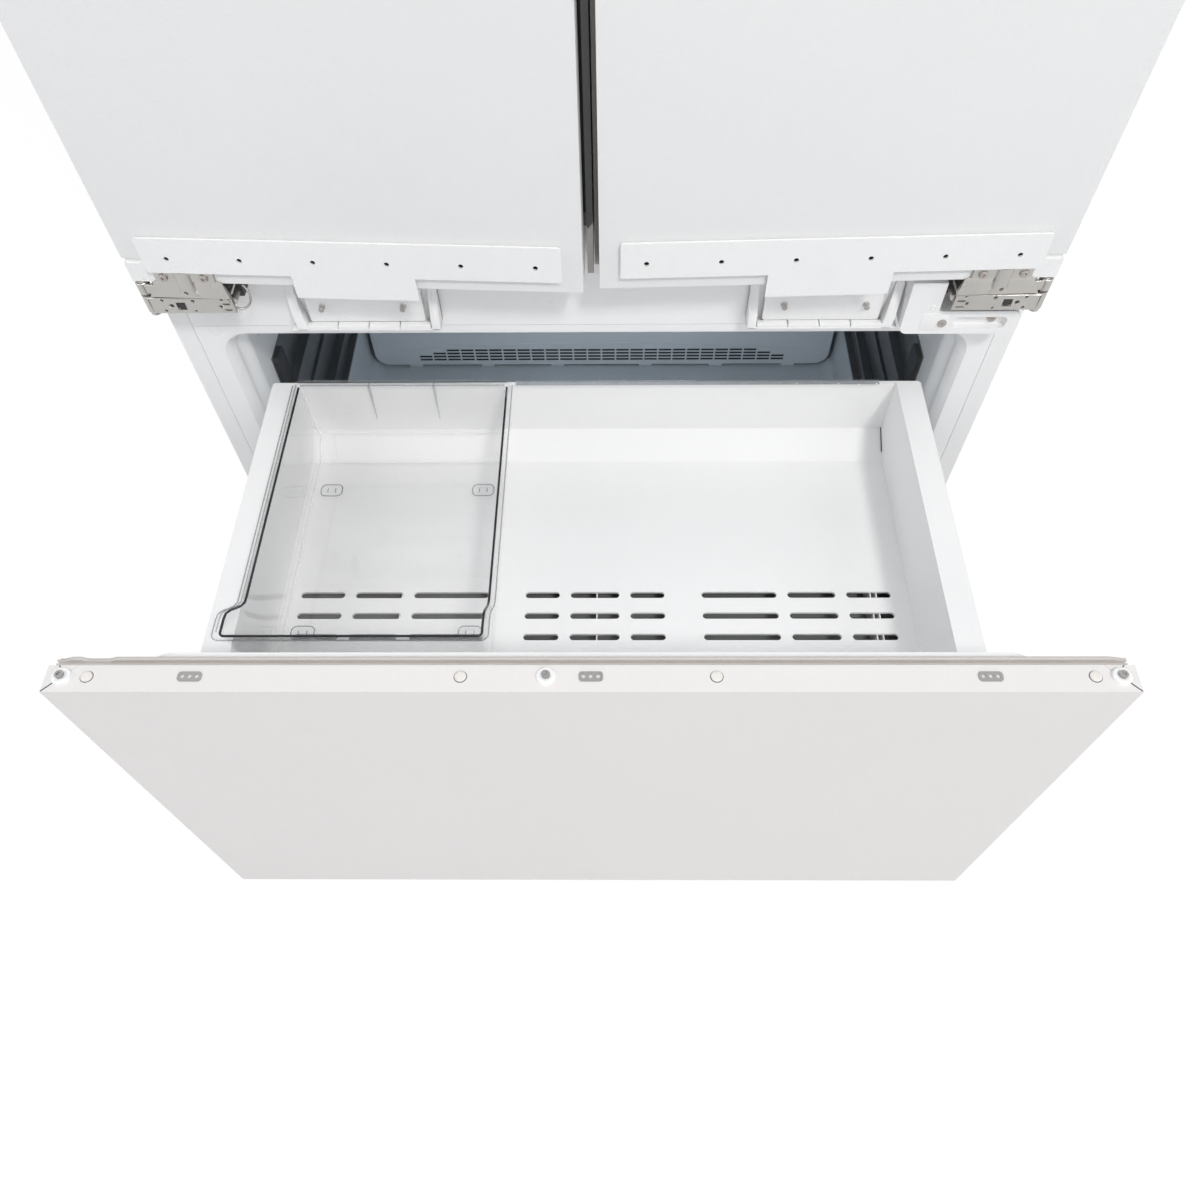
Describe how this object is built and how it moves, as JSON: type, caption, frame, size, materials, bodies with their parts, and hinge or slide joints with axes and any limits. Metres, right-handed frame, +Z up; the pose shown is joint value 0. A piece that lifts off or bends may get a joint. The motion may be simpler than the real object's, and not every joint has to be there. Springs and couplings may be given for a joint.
{
  "type": "built-in french door refrigerator",
  "caption": "Panel-ready built-in refrigerator with hinged upper doors, a folding mullion between them and a pull-out freezer drawer on telescopic slides with a slotted tray.",
  "frame": {"origin": "on the floor, on the centre line, in the middle of the toe kick's bottom flange", "axes": "+X to the right for someone who faces the doors, +Y to the back, +Z up"},
  "size_m": [0.904, 1.019, 2.123],
  "materials": {
    "case_paint": "satin paint",
    "front_paint": "satin paint",
    "bracket_paint": "white powder coat",
    "zinc_sheet": "galvanised sheet",
    "steel": "zinc plated",
    "screw_steel": "plated",
    "slide_steel": "dark coated steel",
    "foam": "rigid foam",
    "white_liner": "smooth moulded",
    "tray_white": "smooth moulded",
    "freezer_panel": "fine moulded",
    "white_trim": "moulded",
    "grey_plastic": "moulded",
    "cream_plastic": "moulded",
    "gasket": "soft matt",
    "black_plastic": "moulded",
    "black_paint": "satin black",
    "aluminium": "mill finish",
    "fan_plastic": "moulded",
    "glass": "polished",
    "clear_plastic": "clear moulded",
    "lamp_lens": "frosted"
  },
  "bodies": {
    "cabinet": {"outer_case": "case_paint", "rear_sheets": "zinc_sheet", "insulation": "foam", "fridge_liner": "white_liner", "freezer_liner": "white_liner", "centre_rail": "white_liner", "rail_pockets": "white_trim", "hinge_arms": "steel", "hinge_cover": "white_trim", "cabinet_fasteners": "screw_steel", "toe_kick": "case_paint", "base_tray": "zinc_sheet", "levelling_feet": "black_plastic", "drain_pan": "black_plastic", "compressor": "black_paint", "condenser": "black_paint", "fan_motors": "black_plastic", "machine_cover": "zinc_sheet", "power_inlet": "black_plastic", "evaporator": "aluminium", "duct_cover": "freezer_panel", "slide_outer_members": "slide_steel", "slide_end_plates": "black_plastic", "shelf_glass": "glass", "shelf_trims": "white_trim", "crisper_bins": "clear_plastic", "fridge_duct": "white_liner", "fridge_lamp": "lamp_lens", "fixing_tabs": "zinc_sheet"},
    "left_door": {"left_door_skin": "front_paint", "left_door_foam": "foam", "left_door_liner": "white_liner", "left_door_gasket": "gasket", "left_door_caps": "white_trim", "left_door_bins": "clear_plastic", "left_panel_bracket": "bracket_paint", "left_hinge_leaves": "steel"},
    "right_door": {"right_door_skin": "front_paint", "right_door_foam": "foam", "right_door_liner": "white_liner", "right_door_gasket": "gasket", "right_door_caps": "white_trim", "right_door_bins": "clear_plastic", "right_panel_bracket": "bracket_paint", "right_hinge_leaves": "steel"},
    "mullion": {"mullion": "grey_plastic"},
    "drawer": {"drawer_skin": "front_paint", "drawer_foam": "foam", "drawer_liner": "white_liner", "drawer_gasket": "gasket", "drawer_fixings": "screw_steel", "drawer_caps": "cream_plastic", "tray_walls": "tray_white", "tray_floor": "tray_white", "ice_bin": "clear_plastic", "lower_basket": "tray_white", "slide_inner_members": "slide_steel"},
    "slide_middles": {"slide_middle_members": "slide_steel"},
    "evaporator_fan": {"evaporator_fan": "fan_plastic"},
    "condenser_fan": {"condenser_fan": "fan_plastic"}
  },
  "joints": [
    {"name": "left_door_hinge", "type": "hinge", "parent": "cabinet", "child": "left_door", "pos_m": [-0.444, -0.056, 1.3795], "axis": [0, 0, -1], "range_deg": [-2.6, 102.4]},
    {"name": "right_door_hinge", "type": "hinge", "parent": "cabinet", "child": "right_door", "pos_m": [0.444, -0.056, 1.3795], "axis": [0, 0, 1], "range_deg": [-1.8, 103.2]},
    {"name": "mullion_fold", "type": "hinge", "parent": "left_door", "child": "mullion", "pos_m": [-0.05286, -0.03973, 1.3825], "axis": [0, 0, 1], "range_deg": [-2.21, 87.05]},
    {"name": "drawer_slide", "type": "slide", "parent": "cabinet", "child": "drawer", "axis": [0, -1, 0], "range_m": [-0.409, 0.03]},
    {"name": "slide_travel", "type": "slide", "parent": "cabinet", "child": "slide_middles", "axis": [0, -1, 0], "range_m": [-0.2045, 0.015]},
    {"name": "evaporator_fan_spin", "type": "hinge", "parent": "cabinet", "child": "evaporator_fan", "pos_m": [0, 0.435, 0.493], "axis": [0, 1, 0], "continuous": true},
    {"name": "condenser_fan_spin", "type": "hinge", "parent": "cabinet", "child": "condenser_fan", "pos_m": [-0.11, 0.44, 1.978], "axis": [1, 0, 0], "continuous": true}
  ],
  "couplings": [
    {"joint": "mullion_fold", "follows": "left_door_hinge", "ratio": 0.85},
    {"joint": "slide_travel", "follows": "drawer_slide", "ratio": 0.5}
  ]
}
